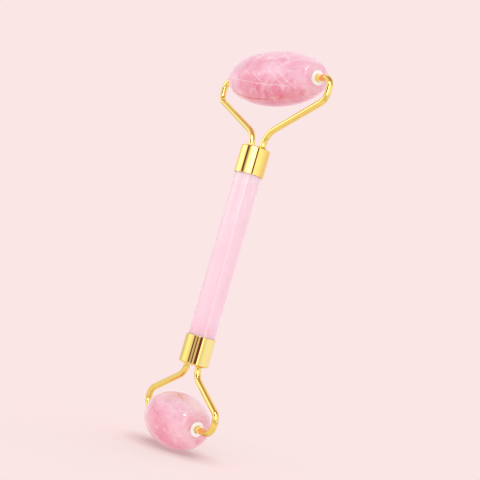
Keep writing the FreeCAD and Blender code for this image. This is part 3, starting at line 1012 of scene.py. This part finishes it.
panels, panel_tree, _ = new_material("Softboxes and flags")
panel_tree.nodes.clear()
place = node(panel_tree, "TexCoord", {}, "Object")
ahead = node(panel_tree, "VectorMath", {0: place, 1: to_camera}, "Value", operation="DOT_PRODUCT")
aside = node(panel_tree, "VectorMath", {0: place, 1: to_right}, "Value", operation="DOT_PRODUCT")
bearing = node(panel_tree, "Math", {0: aside, 1: ahead}, operation="ARCTAN2")
round_ring = node(panel_tree, "MapRange", {"Value": bearing, "From Min": -math.pi, "From Max": math.pi})
tiers = {}
for tier, stops in PANELS.items():
    ramp = panel_tree.nodes.new("ShaderNodeValToRGB")
    panel_tree.links.new(round_ring, ramp.inputs["Fac"])
    ramp.color_ramp.elements.remove(ramp.color_ramp.elements[0])
    for bearing_deg, brightness, colour in stops:
        where = (bearing_deg + 180) / 360
        stop = ramp.color_ramp.elements[0] if where == 0 else ramp.color_ramp.elements.new(where)
        stop.position = where
        stop.color = (*(brightness * channel for channel in linear(colour)[:3]), 1)
    tiers[tier] = ramp.outputs["Color"]
height = node(panel_tree, "SeparateXYZ", {"Vector": place}, "Z")
shown = tiers["low"]
for tier, start, end in TIERS:
    blend = node(panel_tree, "MapRange", {"Value": height, "From Min": start * MM, "From Max": end * MM})
    shown = node(panel_tree, "Mix", {"Factor": blend, "A": shown, "B": tiers[tier]}, data_type="RGBA")
upwards = {"Value": height, "From Min": RING_FADE_START, "From Max": RING_TOP, "To Max": 0.6}
forwards = {"Value": ahead, "From Min": -RING_FADE_BEHIND, "From Max": 0.0}
high = node(panel_tree, "MapRange", upwards)
frontal = node(panel_tree, "MapRange", forwards)
fading = node(panel_tree, "Math", {0: high, 1: frontal}, operation="MULTIPLY")
dim = (CEILING_IN_FRONT, CEILING_IN_FRONT, CEILING_IN_FRONT, 1)
shown = node(panel_tree, "Mix", {"Factor": fading, "A": shown, "B": dim}, data_type="RGBA")
emission = node(panel_tree, "Emission", {"Color": shown})
panel_tree.links.new(emission, panel_tree.nodes.new("ShaderNodeOutputMaterial").inputs["Surface"])

CARD_GLOW = 0.88
CARD_THICKNESS = 0.05 * MM
# Rings round the roller's foot: mm from it where the glow starts and stops changing, and by how much.
CARD_RINGS = ((40, 80, 0.12), (110, 170, -0.28), (200, 320, 0.16))
SHADOW_EDGE = 20 * MM  # the card takes the shadow's colour inside this
SHADOW_CORE = 8 * MM

card, card_tree, _ = new_material("White bounce card")
card_tree.nodes.clear()
place = node(card_tree, "TexCoord", {}, "Object")
reach = node(card_tree, "VectorMath", {0: place, 1: (0, 0, cad_box[0][2])}, "Value", operation="DISTANCE")
strength = CARD_GLOW
for start, end, change in CARD_RINGS:
    step = {"Value": reach, "From Min": start * MM, "From Max": end * MM, "To Max": change}
    strength = node(card_tree, "Math", {0: strength, 1: node(card_tree, "MapRange", step)}, operation="ADD")
in_shadow = node(card_tree, "MapRange", {"Value": reach, "From Min": SHADOW_EDGE, "From Max": SHADOW_CORE})
tints = {"Factor": in_shadow, "A": linear("FFF2EA"), "B": linear("D89AA6")}
tint = node(card_tree, "Mix", tints, data_type="RGBA")
emission = node(card_tree, "Emission", {"Color": tint, "Strength": strength})
card_tree.links.new(emission, card_tree.nodes.new("ShaderNodeOutputMaterial").inputs["Surface"])

ring_shape = bmesh.new()
bmesh.ops.create_circle(ring_shape, radius=RING_RADIUS, segments=RING_SEGMENTS)
extruded(ring_shape, list(ring_shape.edges), Vector((0, 0, RING_TOP - cad_box[0][2])))
card_shape = bmesh.new()
bmesh.ops.create_circle(card_shape, radius=RING_RADIUS, segments=RING_SEGMENTS, cap_ends=True)
for name, shape, lift, material in (
    ("softboxes", ring_shape, 0, panels),
    ("bounce_card", card_shape, CARD_THICKNESS, card),
):
    bmesh.ops.translate(shape, verts=shape.verts, vec=(0, 0, cad_box[0][2] + lift))
    mesh = bpy.data.meshes.new(name)
    shape.to_mesh(mesh)
    shape.free()
    mesh.materials.append(material)
    thing = bpy.data.objects.new(name, mesh)
    bpy.context.scene.collection.objects.link(thing)
    thing.visible_camera = False
    thing.visible_diffuse = False
    thing.visible_transmission = False
    thing.visible_shadow = False

# --------------------------------------------------------------------------------------------------
# Strip lamps
# Two narrow lamps that stand high in front and light only what is polished. They put the small
# bright streaks on the stones.
# --------------------------------------------------------------------------------------------------

STRIP_WIDTH = 30 * MM
STRIP_GLOW = 70.0  # watts for each square metre
# Where each lamp stands and how long it is, in mm.
STRIPS = {
    "left_strip": ((88, -232, 226), 80),
    "middle_strip": ((245, -245, 250), 180),
}
for name, (place_mm, length_mm) in STRIPS.items():
    place = Vector(place_mm) * MM
    strip_data = bpy.data.lights.new(name, "AREA")
    strip_data.shape = "RECTANGLE"
    strip_data.size = STRIP_WIDTH
    strip_data.size_y = length_mm * MM
    strip_data.energy = STRIP_GLOW * strip_data.size * strip_data.size_y
    strip_lamp = bpy.data.objects.new(name, strip_data)
    strip_lamp.visible_diffuse = False
    bpy.context.scene.collection.objects.link(strip_lamp)
    strip_lamp.matrix_world = Matrix.Translation(place) @ place.to_track_quat("Z", "Y").to_matrix().to_4x4()
